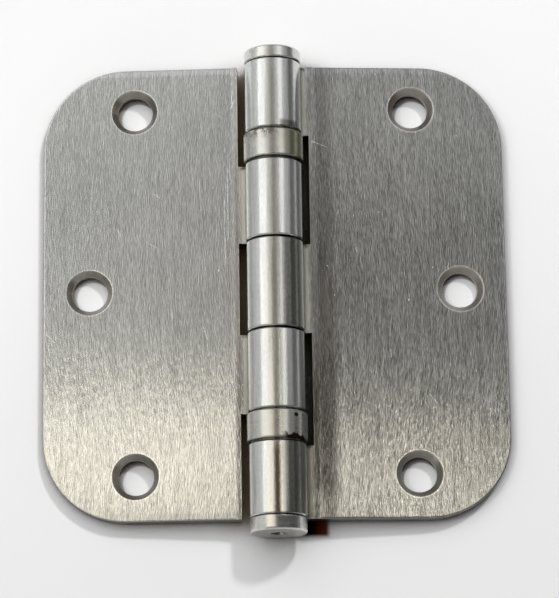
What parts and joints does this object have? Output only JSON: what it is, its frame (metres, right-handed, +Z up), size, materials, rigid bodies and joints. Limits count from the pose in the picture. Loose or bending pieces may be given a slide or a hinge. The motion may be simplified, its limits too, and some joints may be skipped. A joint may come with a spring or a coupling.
{
  "type": "ball bearing hinge",
  "caption": "Square butt hinge with rounded outer corners, rolled knuckles on a headed pin, ball bearing rings between knuckles and countersunk screw holes.",
  "frame": {"origin": "middle of the hinge's box, on the surface that it lies on, below the pin axis", "axes": "+Y along the pin towards its head, +X across the leaves towards the three-knuckle leaf, +Z up, the way the countersunk faces look"},
  "size_m": [0.0886, 0.0944, 0.0115],
  "materials": {
    "leaf_steel": "satin, brushed along the pin",
    "pin_steel": "smooth satin, turned",
    "ring_steel": "dull, slightly yellowed",
    "race_steel": "ground",
    "ball_steel": "polished"
  },
  "bodies": {
    "fixed_leaf": {"three_knuckle_leaf": "leaf_steel", "hinge_pin": "pin_steel", "bottom_plug": "pin_steel", "upper_bearing_shell": "ring_steel", "upper_fixed_race": "race_steel", "lower_bearing_shell": "ring_steel", "lower_fixed_race": "race_steel"},
    "swing_leaf": {"two_knuckle_leaf": "leaf_steel", "upper_turning_race": "race_steel", "lower_turning_race": "race_steel"},
    "upper_balls": {"upper_ball_01": "ball_steel", "upper_ball_02": "ball_steel", "upper_ball_03": "ball_steel", "upper_ball_04": "ball_steel", "upper_ball_05": "ball_steel", "upper_ball_06": "ball_steel", "upper_ball_07": "ball_steel", "upper_ball_08": "ball_steel", "upper_ball_09": "ball_steel", "upper_ball_10": "ball_steel", "upper_ball_11": "ball_steel", "upper_ball_12": "ball_steel"},
    "lower_balls": {"lower_ball_01": "ball_steel", "lower_ball_02": "ball_steel", "lower_ball_03": "ball_steel", "lower_ball_04": "ball_steel", "lower_ball_05": "ball_steel", "lower_ball_06": "ball_steel", "lower_ball_07": "ball_steel", "lower_ball_08": "ball_steel", "lower_ball_09": "ball_steel", "lower_ball_10": "ball_steel", "lower_ball_11": "ball_steel", "lower_ball_12": "ball_steel"}
  },
  "joints": [
    {"name": "leaf_swing", "type": "hinge", "parent": "fixed_leaf", "child": "swing_leaf", "pos_m": [0, 0, 0.00575], "axis": [0, 1, 0], "range_deg": [-118, 186.5]},
    {"name": "upper_ball_orbit", "type": "hinge", "parent": "fixed_leaf", "child": "upper_balls", "pos_m": [0, 0, 0.00575], "axis": [0, 1, 0], "range_deg": [-59, 93.25]},
    {"name": "lower_ball_orbit", "type": "hinge", "parent": "fixed_leaf", "child": "lower_balls", "pos_m": [0, 0, 0.00575], "axis": [0, 1, 0], "range_deg": [-59, 93.25]}
  ],
  "couplings": [
    {"joint": "upper_ball_orbit", "follows": "leaf_swing", "ratio": 0.5},
    {"joint": "lower_ball_orbit", "follows": "leaf_swing", "ratio": 0.5}
  ]
}
